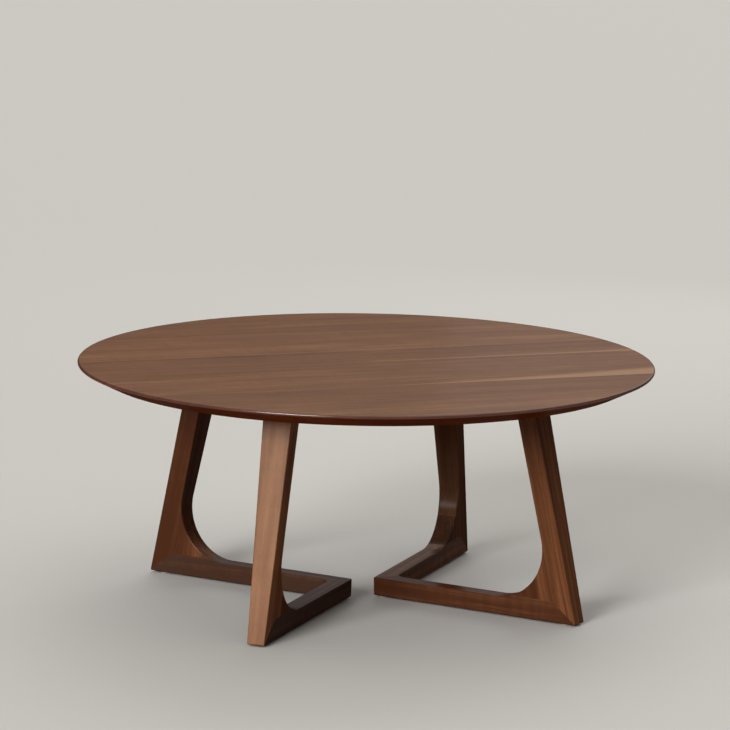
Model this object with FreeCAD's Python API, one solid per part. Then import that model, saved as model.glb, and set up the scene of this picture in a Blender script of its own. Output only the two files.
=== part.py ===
import FreeCAD, Part
import math
import os

from FreeCAD import Vector

# A low round table: an edge-glued wooden top on two V-shaped bases.
# Each base is two mitred frames, and a frame is a rail, a corner block and a slanting leg.
# Millimetres, +Z up. The origin is on the floor under the middle of the top.
# +X runs along the boards of the top and through the corners of both bases.

# Overall sizes
TABLE_HEIGHT = 420.0
TOP_DIAMETER = 1000.0
TOP_THICKNESS = 24.0

# Boards of the top, and its rim: a small round nose above a broad bevel, measured from upright
BOARD_WIDTH = 110.0
MIDDLE_JOINT_Y = -7.0
RIM_NOSE_RADIUS = 3.0
RIM_BEVEL_ANGLE = 64.0

# Plan of the bases: the gap between their two corners, and the half angle of each V
CORNER_GAP = 41.5
V_HALF_ANGLE = 50.0

# Outline of one frame, in its own plane
FRAME_REACH = 402.0
RAIL_HEIGHT = 32.0
SEAT_RISE = 5.0
LEG_LEAN = 12.9
LEG_WIDTH = 36.0
BLANK_SPARE = 22.0
CURVE_RADIUS = 90.0

# Thickness of a frame, which grows from the floor to the top
FOOT_THICKNESS = 31.0
LEG_TOP_THICKNESS = 53.5

# Rounding: the inside of the V, the long edges, and what the outer corners have beyond these
INNER_CORNER_RADIUS = 22.0
EDGE_ROUND = 2.0
CORNER_EASE = 0.5

# Glides under each foot and under the corner of each base
GLIDE_HEIGHT = 3.0
GLIDE_DIAMETER = 20.0
GLIDE_CHAMFER = 0.6
FOOT_GLIDE_INSET = 26.0

# Loose tongue in the mitre between two rails, and the wood left above and below it
KEY_THICKNESS = 6.0
KEY_WIDTH = 24.0
KEY_COVER = 6.0
KEY_FROM_CORNER = 22.0

# Dowels between leg and rail
DOWEL_DIAMETER = 8.0
DOWEL_LENGTH = 30.0
DOWEL_SPACING = 14.0
DOWEL_CHAMFER = 0.8

# Room for glue around a dowel, tongue or insert, and at its ends
GLUE_GAP = 0.1
HOLE_END_GAP = 0.5

# Steel plate over each leg, let into the underside of the top
PLATE_THICKNESS = 4.0
PLATE_WIDTH = 34.0
PLATE_CORNER_RADIUS = 5.0
PLATE_END_MARGIN = 12.0
PLATE_CLEARANCE = 0.5

# Bolts on both sides of the leg, from below through the plate into brass inserts
BOLT_DIAMETER = 6.0
BOLT_HEAD_DIAMETER = 10.5
BOLT_HEAD_HEIGHT = 3.3
BOLT_HEAD_ROUND = 1.5
BOLT_SOCKET_WIDTH = 4.0
BOLT_SOCKET_DEPTH = 2.0
BOLT_SPACING = 18.0
BOLT_TO_LEG = 13.0
BOLT_END_GAP = 2.0
BOLT_CLEARANCE = 0.5
INSERT_DIAMETER = 10.0
INSERT_COVER = 5.0
THREAD_CLEARANCE = 0.1

# Countersunk screws through the plate into the end of the leg
SCREW_DIAMETER = 5.0
SCREW_HEAD_DIAMETER = 10.0
SCREW_LENGTH = 45.0
SCREW_POINT = 6.0
SCREW_SPACING = 24.0
SCREW_SINK = 0.2

# Levels
TOP_UNDERSIDE = TABLE_HEIGHT - TOP_THICKNESS
RECESS_CEILING = TOP_UNDERSIDE + PLATE_THICKNESS
INSERT_TOP = TABLE_HEIGHT - INSERT_COVER
RAIL_BOTTOM = GLIDE_HEIGHT
RAIL_TOP = RAIL_BOTTOM + RAIL_HEIGHT
SEAT_LEVEL = RAIL_TOP + SEAT_RISE

# Angles, slopes and directions
LEAN = math.radians(LEG_LEAN)
HALF_ANGLE = math.radians(V_HALF_ANGLE)
MITRE_ANGLE = (math.pi / 2 - LEAN) / 2
TAPER = (LEG_TOP_THICKNESS - FOOT_THICKNESS) / 2 / TOP_UNDERSIDE
UP = Vector(0, 0, 1)

# Cutting solids reach this far past what they cut, and edges are found within this tolerance
BEYOND = 60.0
NEAR = 0.01

# Every corner of the table: whether it lies to the left, and whether it lies to the back
CORNERS = {
    "right_front": (False, False),
    "right_back": (False, True),
    "left_back": (True, True),
    "left_front": (True, False),
}


# Points and lines of one frame. "Along" follows the rail from the corner of the V,
# and "across" goes from the outside face towards the inside of the V.

def in_frame(along, height, across=0.0):
    return Vector(along, across, height)


def leg_outer(height):
    return FRAME_REACH - math.tan(LEAN) * (height - RAIL_BOTTOM)


def leg_inner(height):
    return leg_outer(height) - LEG_WIDTH / math.cos(LEAN)


def blank_inner(height):
    """Inner edge of the wider blank that the leg is sawn from, where the block is glued on."""
    return leg_inner(height) - BLANK_SPARE / math.cos(LEAN)


MIDDLE = FOOT_THICKNESS / 2
MITRE_OUTER = in_frame(FRAME_REACH, RAIL_BOTTOM)
MITRE_INNER = in_frame(FRAME_REACH - (SEAT_LEVEL - RAIL_BOTTOM) / math.tan(MITRE_ANGLE), SEAT_LEVEL)
SEAT_INNER = in_frame(blank_inner(SEAT_LEVEL), SEAT_LEVEL)
LEG_TOP_ALONG = (leg_outer(TOP_UNDERSIDE) + leg_inner(TOP_UNDERSIDE)) / 2
LEG_TOP_CENTRE = in_frame(LEG_TOP_ALONG, TOP_UNDERSIDE, MIDDLE)


def polygon_face(points):
    return Part.Face(Part.makePolygon(points + points[:1]))


def through_frame(face):
    """A face drawn in the frame's plane, made into a prism that passes through the whole frame."""
    face.translate(in_frame(0, 0, -BEYOND))
    return face.extrude(in_frame(0, 0, LEG_TOP_THICKNESS + 2 * BEYOND))


def in_right_base(shape):
    """Puts a shape of the frame's plane where the front frame of the right-hand base is."""
    shape = shape.copy()
    shape.rotate(Vector(), UP, -V_HALF_ANGLE)
    shape.translate(Vector(CORNER_GAP / 2, 0, 0))
    return shape


def at_corner(shape, corner):
    """Puts a shape made for the right-hand front at any corner of the table."""
    is_left, is_back = CORNERS[corner]
    shape = shape.copy()
    if is_left != is_back:
        shape = shape.mirror(Vector(), Vector(0, 1, 0))
    if is_left:
        shape.rotate(Vector(), UP, 180)
    return shape


# The two frames of a base, before their joints are cut

def frame_outline():
    """Rail, curve and leg in one outline. The rail runs on past the mitre, which trims it later."""
    corner = in_frame(leg_inner(RAIL_TOP), RAIL_TOP)
    tangent = CURVE_RADIUS / math.tan(MITRE_ANGLE)
    curve_on_leg = corner + in_frame(-math.sin(LEAN), math.cos(LEAN)) * tangent
    curve_on_rail = corner - in_frame(tangent, 0)
    curve_centre = curve_on_rail + UP * CURVE_RADIUS
    to_corner = corner - curve_centre
    curve_middle = curve_centre + to_corner * (CURVE_RADIUS / to_corner.Length)
    corners = [
        curve_on_rail,
        in_frame(-BEYOND, RAIL_TOP),
        in_frame(-BEYOND, RAIL_BOTTOM),
        in_frame(FRAME_REACH, RAIL_BOTTOM),
        in_frame(leg_outer(TOP_UNDERSIDE), TOP_UNDERSIDE),
        in_frame(leg_inner(TOP_UNDERSIDE), TOP_UNDERSIDE),
        curve_on_leg,
    ]
    edges = [Part.LineSegment(start, end).toShape() for start, end in zip(corners, corners[1:])]
    edges.append(Part.Arc(curve_on_leg, curve_middle, curve_on_rail).toShape())
    return Part.Face(Part.Wire(edges))


def tapered_slab():
    """All the space between a frame's two faces, which spread towards the top."""
    spread = TAPER * TOP_UNDERSIDE
    section = polygon_face([
        in_frame(-BEYOND, 0),
        in_frame(-BEYOND, 0, FOOT_THICKNESS),
        in_frame(-BEYOND, TOP_UNDERSIDE, FOOT_THICKNESS + spread),
        in_frame(-BEYOND, TOP_UNDERSIDE, -spread),
    ])
    return section.extrude(in_frame(FRAME_REACH + 2 * BEYOND, 0))


def front_half(shape):
    """The part of the right-hand base in front of the mitre between its rails."""
    size = FRAME_REACH + LEG_TOP_THICKNESS + BEYOND
    return shape.common(Part.makeBox(2 * size, size, TABLE_HEIGHT, Vector(-size, -size, 0)))


def frame_position(point):
    """Along, across and height of a point of the right-hand base, in the frame that it belongs to."""
    forward = point.x - CORNER_GAP / 2
    sideways = abs(point.y)
    along = forward * math.cos(HALF_ANGLE) + sideways * math.sin(HALF_ANGLE)
    across = forward * math.sin(HALF_ANGLE) - sideways * math.cos(HALF_ANGLE)
    return along, across, point.z


def middle_of(edge):
    return edge.valueAt((edge.FirstParameter + edge.LastParameter) / 2)


def mitre_edges(base):
    """Upright edges of the corner of the V, which lie on the mitre, from the outside in."""
    on_mitre = [edge for edge in base.Edges if all(abs(vertex.Point.y) < NEAR for vertex in edge.Vertexes)]
    return sorted(on_mitre, key=lambda edge: edge.CenterOfMass.x)


def is_foot_corner(edge):
    along, _, height = frame_position(middle_of(edge))
    return abs(along - FRAME_REACH) < NEAR and abs(height - RAIL_BOTTOM) < NEAR


def is_long_edge(edge):
    """Edges of a frame's outside or inside face, except at the leg's top and down the rail's corner."""
    _, across, height = frame_position(middle_of(edge))
    outside = abs(across + TAPER * height) < NEAR
    inside = abs(across - FOOT_THICKNESS - TAPER * height) < NEAR
    levels = sorted(vertex.Point.z for vertex in edge.Vertexes)
    down_the_rail = abs(levels[0] - RAIL_BOTTOM) < NEAR and abs(levels[-1] - RAIL_TOP) < NEAR
    at_leg_top = abs(height - TOP_UNDERSIDE) < NEAR
    return (outside or inside) and not down_the_rail and not at_leg_top


def rounded_base():
    """Both frames of the right-hand base in one, with every edge rounded as the finished base has it."""
    frame = through_frame(frame_outline()).common(tapered_slab())
    front = front_half(in_right_base(frame))
    base = front.fuse(at_corner(front, "right_back")).removeSplitter()
    base = base.makeFillet(INNER_CORNER_RADIUS, mitre_edges(base)[-1:])
    outer_corners = mitre_edges(base)[:1] + [edge for edge in base.Edges if is_foot_corner(edge)]
    base = base.makeFillet(EDGE_ROUND + CORNER_EASE, outer_corners)
    return base.makeFillet(EDGE_ROUND, [edge for edge in base.Edges if is_long_edge(edge)])


# Pieces of one frame, parted along the glue lines

def leg_region():
    """Above the mitre and the seat, and outside the block's glue line."""
    far = FRAME_REACH + BEYOND
    high = TOP_UNDERSIDE + BEYOND
    return in_right_base(through_frame(polygon_face([
        MITRE_OUTER,
        MITRE_INNER,
        SEAT_INNER,
        in_frame(blank_inner(high), high),
        in_frame(far, high),
        in_frame(far, RAIL_BOTTOM),
    ])))


def block_region():
    """Above the seat, and inside the block's glue line."""
    high = TOP_UNDERSIDE + BEYOND
    return in_right_base(through_frame(polygon_face([
        SEAT_INNER,
        in_frame(blank_inner(high), high),
        in_frame(-BEYOND, high),
        in_frame(-BEYOND, SEAT_LEVEL),
    ])))


# Hidden joinery and hardware, made for the right-hand front leg

def upright(diameter, bottom, height, place):
    return Part.makeCylinder(diameter / 2, height, Vector(place.x, place.y, bottom))


def dowel_places():
    """Centre and direction of each dowel: two across the mitre and one in the seat beside it."""
    mitre_middle = (MITRE_OUTER + MITRE_INNER) * 0.5
    mitre_normal = in_frame(math.sin(MITRE_ANGLE), math.cos(MITRE_ANGLE))
    seat_middle = (MITRE_INNER + SEAT_INNER) * 0.5
    to_middle = in_frame(0, 0, MIDDLE)
    to_side = in_frame(0, 0, DOWEL_SPACING / 2)
    return [
        (mitre_middle + to_middle - to_side, mitre_normal),
        (mitre_middle + to_middle + to_side, mitre_normal),
        (seat_middle + to_middle, UP),
    ]


def round_bar(diameter, length, centre, direction):
    return Part.makeCylinder(diameter / 2, length, centre - direction * (length / 2), direction)


def dowels():
    shapes = []
    for centre, direction in dowel_places():
        dowel = round_bar(DOWEL_DIAMETER, DOWEL_LENGTH, centre, direction)
        round_ends = [edge for edge in dowel.Edges if edge.isClosed()]
        shapes.append(dowel.makeChamfer(DOWEL_CHAMFER, round_ends))
    return in_right_base(Part.makeCompound(shapes))


def dowel_holes():
    diameter = DOWEL_DIAMETER + 2 * GLUE_GAP
    length = DOWEL_LENGTH + 2 * HOLE_END_GAP
    return [in_right_base(round_bar(diameter, length, *place)) for place in dowel_places()]


def mitre_key(gap=0.0):
    """Tongue across the mitre of the right-hand base, or with a gap the mortise that it sits in."""
    thickness = KEY_THICKNESS + 2 * gap
    width = KEY_WIDTH + 2 * gap
    height = RAIL_HEIGHT - 2 * KEY_COVER + 2 * gap
    middle_x = CORNER_GAP / 2 + KEY_FROM_CORNER
    bottom = RAIL_BOTTOM + KEY_COVER - gap
    return Part.makeBox(thickness, width, height, Vector(middle_x - thickness / 2, -width / 2, bottom))


def plate_blank(gap=0.0):
    """Outline of the fixing plate as a solid, or with a gap the recess that it lies in."""
    width = PLATE_WIDTH + 2 * gap
    length = LEG_TOP_THICKNESS + 2 * (BOLT_TO_LEG + PLATE_END_MARGIN) + 2 * gap
    corner = LEG_TOP_CENTRE - in_frame(width / 2, 0, length / 2)
    blank = Part.makeBox(width, length, PLATE_THICKNESS, corner)
    upright_edges = [edge for edge in blank.Edges if abs(edge.tangentAt(edge.FirstParameter).z) > 1 - NEAR]
    return blank.makeFillet(PLATE_CORNER_RADIUS + gap, upright_edges)


def bolt_places():
    from_middle = LEG_TOP_THICKNESS / 2 + BOLT_TO_LEG
    return [
        LEG_TOP_CENTRE + in_frame(row * BOLT_SPACING / 2, 0, side * from_middle)
        for side in (-1, 1)
        for row in (-1, 1)
    ]


def screw_places():
    return [LEG_TOP_CENTRE + in_frame(0, 0, side * SCREW_SPACING / 2) for side in (-1, 1)]


def bolt(place):
    """Button head under the plate with a six-sided socket, and a shank up into the insert."""
    head = upright(BOLT_HEAD_DIAMETER, TOP_UNDERSIDE - BOLT_HEAD_HEIGHT, BOLT_HEAD_HEIGHT, place)
    low_edge = [edge for edge in head.Edges if edge.isClosed() and edge.CenterOfMass.z < TOP_UNDERSIDE - NEAR]
    head = head.makeFillet(BOLT_HEAD_ROUND, low_edge)
    shank = upright(BOLT_DIAMETER, TOP_UNDERSIDE, INSERT_TOP - BOLT_END_GAP - TOP_UNDERSIDE, place)
    socket_radius = BOLT_SOCKET_WIDTH / math.sqrt(3)
    low = place - UP * BOLT_HEAD_HEIGHT
    angles = [math.radians(60 * step) for step in range(6)]
    six_sides = polygon_face([low + Vector(math.cos(a), math.sin(a), 0) * socket_radius for a in angles])
    return head.fuse(shank).cut(six_sides.extrude(UP * BOLT_SOCKET_DEPTH)).removeSplitter()


def insert(place):
    length = INSERT_TOP - RECESS_CEILING
    body = upright(INSERT_DIAMETER, RECESS_CEILING, length, place)
    return body.cut(upright(BOLT_DIAMETER + 2 * THREAD_CLEARANCE, RECESS_CEILING, length, place))


def wood_screw(place, gap=0.0):
    """Countersunk screw that points down into the leg, or with a gap the hole that it goes in."""
    head_top = Vector(place.x, place.y, RECESS_CEILING - SCREW_SINK + gap)
    radius = SCREW_DIAMETER / 2 + gap
    head_radius = SCREW_HEAD_DIAMETER / 2 + gap
    head_height = head_radius - radius
    shank_length = SCREW_LENGTH - head_height - SCREW_POINT
    down = Vector(0, 0, -1)
    neck = head_top + down * head_height
    point = neck + down * shank_length
    head = Part.makeCone(head_radius, radius, head_height, head_top, down)
    shank = Part.makeCylinder(radius, shank_length, neck, down)
    tip = Part.makeCone(radius, 0, SCREW_POINT + 2 * gap, point, down)
    return head.fuse([shank, tip]).removeSplitter()


def screw_holes():
    """Holes for the screws through plate and leg, with room above the sunk heads."""
    diameter = SCREW_HEAD_DIAMETER + 2 * GLUE_GAP
    above = [upright(diameter, RECESS_CEILING - SCREW_SINK, SCREW_SINK, place) for place in screw_places()]
    return above + [wood_screw(place, GLUE_GAP) for place in screw_places()]


def fixing_plate():
    bolt_hole = BOLT_DIAMETER + 2 * BOLT_CLEARANCE
    holes = [upright(bolt_hole, TOP_UNDERSIDE, PLATE_THICKNESS, place) for place in bolt_places()]
    return plate_blank().cut(holes + screw_holes())


def glide(centre):
    disc = Part.makeCylinder(GLIDE_DIAMETER / 2, GLIDE_HEIGHT, centre)
    low_edge = [edge for edge in disc.Edges if edge.isClosed() and edge.CenterOfMass.z < NEAR]
    return disc.makeChamfer(GLIDE_CHAMFER, low_edge)


# The top, before it is parted into boards

def top_disc():
    radius = TOP_DIAMETER / 2
    bevel = math.radians(RIM_BEVEL_ANGLE)
    nose_centre = Vector(radius - RIM_NOSE_RADIUS, 0, TABLE_HEIGHT - RIM_NOSE_RADIUS)
    nose_middle = nose_centre + Vector(RIM_NOSE_RADIUS, 0, 0)
    nose_top = nose_centre + UP * RIM_NOSE_RADIUS
    nose_end = nose_centre + Vector(math.cos(bevel), 0, -math.sin(bevel)) * RIM_NOSE_RADIUS
    bevel_inset = (nose_end.z - TOP_UNDERSIDE) * math.tan(bevel)
    bevel_end = Vector(nose_end.x - bevel_inset, 0, TOP_UNDERSIDE)
    straight = [nose_end, bevel_end, Vector(0, 0, TOP_UNDERSIDE), Vector(0, 0, TABLE_HEIGHT), nose_top]
    edges = [Part.LineSegment(start, end).toShape() for start, end in zip(straight, straight[1:])]
    edges.append(Part.Arc(nose_top, nose_middle, nose_end).toShape())
    return Part.Face(Part.Wire(edges)).revolve(Vector(), UP, 360)


def top_cuts():
    """Recesses and insert holes in the underside, over all four legs."""
    hole_length = INSERT_TOP - RECESS_CEILING + HOLE_END_GAP
    hole_diameter = INSERT_DIAMETER + 2 * GLUE_GAP
    holes = [upright(hole_diameter, RECESS_CEILING, hole_length, place) for place in bolt_places()]
    over_one_leg = in_right_base(Part.makeCompound([plate_blank(PLATE_CLEARANCE)] + holes))
    return [solid for corner in CORNERS for solid in at_corner(over_one_leg, corner).Solids]


def boards():
    """The top parted along its glue lines, counted from the middle joint to the back and to the front."""
    disc = top_disc().cut(top_cuts())
    length = TOP_DIAMETER + 2 * BEYOND
    parted = {}
    for side, direction in (("back", 1), ("front", -1)):
        count = math.ceil((TOP_DIAMETER / 2 - direction * MIDDLE_JOINT_Y) / BOARD_WIDTH)
        for number in range(1, count + 1):
            middle = MIDDLE_JOINT_Y + direction * BOARD_WIDTH * (number - 0.5)
            corner = Vector(-length / 2, middle - BOARD_WIDTH / 2, 0)
            parted[f"top_{side}_board_{number}"] = disc.common(
                Part.makeBox(length, BOARD_WIDTH, TABLE_HEIGHT, corner))
    return parted


# Putting every piece in its place, under the name of its node

def frame_pieces():
    """Leg, rail and corner block of the right-hand front frame, with their mortises and holes."""
    frame = front_half(rounded_base())
    holes = dowel_holes()
    leg = frame.common(leg_region()).cut(holes + [in_right_base(hole) for hole in screw_holes()])
    block = frame.common(block_region())
    rail = frame.cut([leg_region(), block_region()]).cut(holes + [mitre_key(GLUE_GAP)])
    return {"leg": leg, "rail": rail, "corner_block": block}


def pieces_of_one_corner():
    pieces = frame_pieces()
    foot_centre = in_frame(FRAME_REACH - FOOT_GLIDE_INSET, 0, MIDDLE)
    pieces["leg_dowels"] = dowels()
    pieces["fixing_plate"] = in_right_base(fixing_plate())
    pieces["foot_glide"] = in_right_base(glide(foot_centre))
    return pieces


def hardware_of_one_corner():
    return {
        "plate_bolts": in_right_base(Part.makeCompound([bolt(place) for place in bolt_places()])),
        "top_inserts": in_right_base(Part.makeCompound([insert(place) for place in bolt_places()])),
        "plate_screws": in_right_base(Part.makeCompound([wood_screw(place) for place in screw_places()])),
    }


def table():
    nodes = boards()
    for name, shape in pieces_of_one_corner().items():
        for corner in CORNERS:
            nodes[f"{corner}_{name}"] = at_corner(shape, corner)
    mitre_middle = Vector(CORNER_GAP / 2 + FOOT_THICKNESS / math.sin(HALF_ANGLE) / 2, 0, 0)
    for side in ("right", "left"):
        nodes[f"{side}_mitre_key"] = at_corner(mitre_key(), f"{side}_front")
        nodes[f"{side}_corner_glide"] = at_corner(glide(mitre_middle), f"{side}_front")
    for name, group in hardware_of_one_corner().items():
        everywhere = [solid for corner in CORNERS for solid in at_corner(group, corner).Solids]
        nodes[name] = Part.makeCompound(everywhere)
    return nodes


os.makedirs("parts", exist_ok=True)
for node, shape in table().items():
    shape.exportStep(f"parts/{node}.step")
    print(node, len(shape.Solids), round(shape.Volume, 1), shape.isValid())
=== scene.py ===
import math

import bpy
from mathutils import Matrix, Vector


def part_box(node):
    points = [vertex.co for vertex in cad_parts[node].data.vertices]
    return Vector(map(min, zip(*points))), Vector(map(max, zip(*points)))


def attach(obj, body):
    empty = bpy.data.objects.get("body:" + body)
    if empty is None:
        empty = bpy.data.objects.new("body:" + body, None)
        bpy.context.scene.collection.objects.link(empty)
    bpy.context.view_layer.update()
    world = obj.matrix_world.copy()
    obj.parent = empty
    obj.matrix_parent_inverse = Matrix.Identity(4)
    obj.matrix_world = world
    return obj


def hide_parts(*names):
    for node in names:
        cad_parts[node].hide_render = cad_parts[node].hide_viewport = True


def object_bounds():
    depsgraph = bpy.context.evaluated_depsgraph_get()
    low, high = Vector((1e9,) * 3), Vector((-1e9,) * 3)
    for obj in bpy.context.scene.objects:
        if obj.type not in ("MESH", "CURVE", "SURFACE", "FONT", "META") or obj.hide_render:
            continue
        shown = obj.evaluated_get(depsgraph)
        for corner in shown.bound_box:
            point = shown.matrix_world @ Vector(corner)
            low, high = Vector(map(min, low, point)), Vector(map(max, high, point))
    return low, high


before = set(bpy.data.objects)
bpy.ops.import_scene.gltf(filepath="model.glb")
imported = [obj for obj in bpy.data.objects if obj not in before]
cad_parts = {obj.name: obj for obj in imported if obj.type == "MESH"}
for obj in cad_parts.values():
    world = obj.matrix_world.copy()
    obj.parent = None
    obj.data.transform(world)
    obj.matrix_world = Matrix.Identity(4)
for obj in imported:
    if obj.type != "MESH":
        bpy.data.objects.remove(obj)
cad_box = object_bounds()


# Rails
# Four low bars of solid walnut on the floor, two to a base, with the grain along them.
# Each is mitred to its neighbour at the corner of the V, and cut off on the slant under its leg.

CORNERS = {
    "right_front": (1, -1),
    "right_back": (1, 1),
    "left_back": (-1, 1),
    "left_front": (-1, -1),
}
V_HALF_ANGLE = math.radians(50)
RAIL_HEART = (0, 0.07, -0.05)
RAIL_SEED = 1.3
# Darker, greyer walnut colours for the pieces that stand in shadow: painted shade
SMOKY_PAINTED_SHADE = {"dark": (0.052, 0.022, 0.012, 1), "middle": (0.125, 0.055, 0.028, 1)}
# The back rails and the front-left rail take the darker, greyer colours: painted shade, besides the wood's
# own differences in tone
RAIL_GRAIN_AND_PAINTED_SHADE = {
    "right_front": {"tone": 0.18},
    "right_back": {"tone": 0.48, **SMOKY_PAINTED_SHADE},
    "left_back": {"tone": -0.1, **SMOKY_PAINTED_SHADE},
    "left_front": {"tone": 0.08, **SMOKY_PAINTED_SHADE},
}


def by_socket(values):
    """Turns keys such as ring_width into the names of sockets, such as Ring Width."""
    return {key.replace("_", " ").title(): value for key, value in values.items()}


def put(tree, kind, inputs=None, **settings):
    """Adds one node. Sockets among its inputs, also in a list, are linked, and other values are set."""
    node = tree.nodes.new(kind)
    for name, value in settings.items():
        setattr(node, name, value)
    for name, wanted in (inputs or {}).items():
        for value in wanted if isinstance(wanted, list) else [wanted]:
            if isinstance(value, bpy.types.NodeSocket):
                tree.links.new(value, node.inputs[name])
            else:
                node.inputs[name].default_value = value
    return node


def calc(tree, operation, *values):
    return put(tree, "ShaderNodeMath", dict(enumerate(values)), operation=operation).outputs[0]


def vector_calc(tree, operation, *values, **factor):
    """Arithmetic on vectors. SCALE takes its factor as scale, and LENGTH puts out a plain number."""
    inputs = {**dict(enumerate(values)), **by_socket(factor)}
    node = put(tree, "ShaderNodeVectorMath", inputs, operation=operation)
    return node.outputs["Value" if operation == "LENGTH" else "Vector"]


def axes(tree, vector):
    """The X, Y and Z of a vector."""
    return put(tree, "ShaderNodeSeparateXYZ", {"Vector": vector}).outputs


def xyz(tree, **parts):
    """A vector from its x, y and z. One that is left out is 0."""
    return put(tree, "ShaderNodeCombineXYZ", by_socket(parts)).outputs["Vector"]


def blend(tree, share, low, high):
    """Mixes two colours, from low at a share of 0 to high at 1."""
    node = put(tree, "ShaderNodeMix", data_type="RGBA", clamp_factor=True)
    for name, value in (("Factor_Float", share), ("A_Color", low), ("B_Color", high)):
        socket = next(s for s in node.inputs if s.identifier == name)
        if isinstance(value, bpy.types.NodeSocket):
            tree.links.new(value, socket)
        else:
            socket.default_value = value
    return next(s for s in node.outputs if s.identifier == "Result_Color")


def step(tree, value, start, end):
    """Goes smoothly from 0 at the start to 1 at the end, and stays so outside them."""
    return put(
        tree, "ShaderNodeMapRange",
        {"Value": value, "From Min": start, "From Max": end},
        interpolation_type="SMOOTHSTEP",
    ).outputs["Result"]


def vary(tree, base, pattern, share):
    """Adds a share of a pattern, which runs from 0 to 1, to a base that its middle leaves as it is."""
    return calc(tree, "MULTIPLY_ADD", calc(tree, "SUBTRACT", pattern, 0.5), share, base)


def noise(tree, place, output="Fac", **values):
    return put(tree, "ShaderNodeTexNoise", {"Vector": place, **by_socket(values)}).outputs[output]


def stretched_noise(tree, place, along, across, detail, output="Fac"):
    """Noise that is drawn out along X, with so many waves to the metre along and across the grain."""
    scaled = vector_calc(tree, "MULTIPLY", place, (along, across, across))
    return noise(tree, scaled, output, scale=1.0, detail=detail)


def line_noise(tree, value, waves, start, detail):
    """Noise along a line, with so many waves to each unit of the value."""
    inputs = {"W": calc(tree, "MULTIPLY_ADD", value, waves, start), "Scale": 1.0, "Detail": detail}
    return put(tree, "ShaderNodeTexNoise", inputs, noise_dimensions="1D").outputs["Fac"]


def new_group(name, inputs, outputs, tree_kind="ShaderNodeTree"):
    """An empty node group with named sockets, the outputs of its input node, and its output node."""
    tree = bpy.data.node_groups.new(name, tree_kind)
    for socket_name, (kind, value) in inputs.items():
        socket = tree.interface.new_socket(socket_name, in_out="INPUT", socket_type=f"NodeSocket{kind}")
        if value is not None:
            socket.default_value = value
    for socket_name, kind in outputs.items():
        tree.interface.new_socket(socket_name, in_out="OUTPUT", socket_type=f"NodeSocket{kind}")
    return tree, put(tree, "NodeGroupInput").outputs, put(tree, "NodeGroupOutput")


def put_out(tree, result, **values):
    """Links what a node group has made to its output node."""
    for name, value in by_socket(values).items():
        tree.links.new(value, result.inputs[name])


SEED_SHIFT = (3.1, 1.7, 2.3)
RING_SEED_STEP = 7.0
RING_UNEVENNESS = 3.0
RING_WOBBLE = 0.9
LATE_WOOD_POWER = 2.5
BAND_SEED_STEP = 11.0
BANDS_PER_METRE = 26.0
FIBRE_SHARE = 0.25
FIBRE_HEIGHT = 0.35
SAP_STREAK_DEPTH = 0.012
SAP_STREAK_CONTRAST = 1.6
SAP_EDGE = (-0.012, 0.014)
PORES_PER_METRE = (55.0, 1500.0, 1500.0)
PORE_EDGE = (0.12, 0.30)
PORE_DARKNESS = 0.45
CUT_FACE_OIL = (0.86, 0.52, 0.42, 1)
CUT_FACE_FILM_LOSS = 0.7
PORE_FILM_LOSS = 0.6
POLISHED_OIL = (0.56, 0.33, 0.26, 1)
POLISH_GLOSS = 0.18
WALNUT_ROUGHNESS = 0.38
FIBRE_ROUGHNESS = 0.12
PORE_ROUGHNESS = 0.2
POLISH_SMOOTHNESS = 0.1


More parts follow.
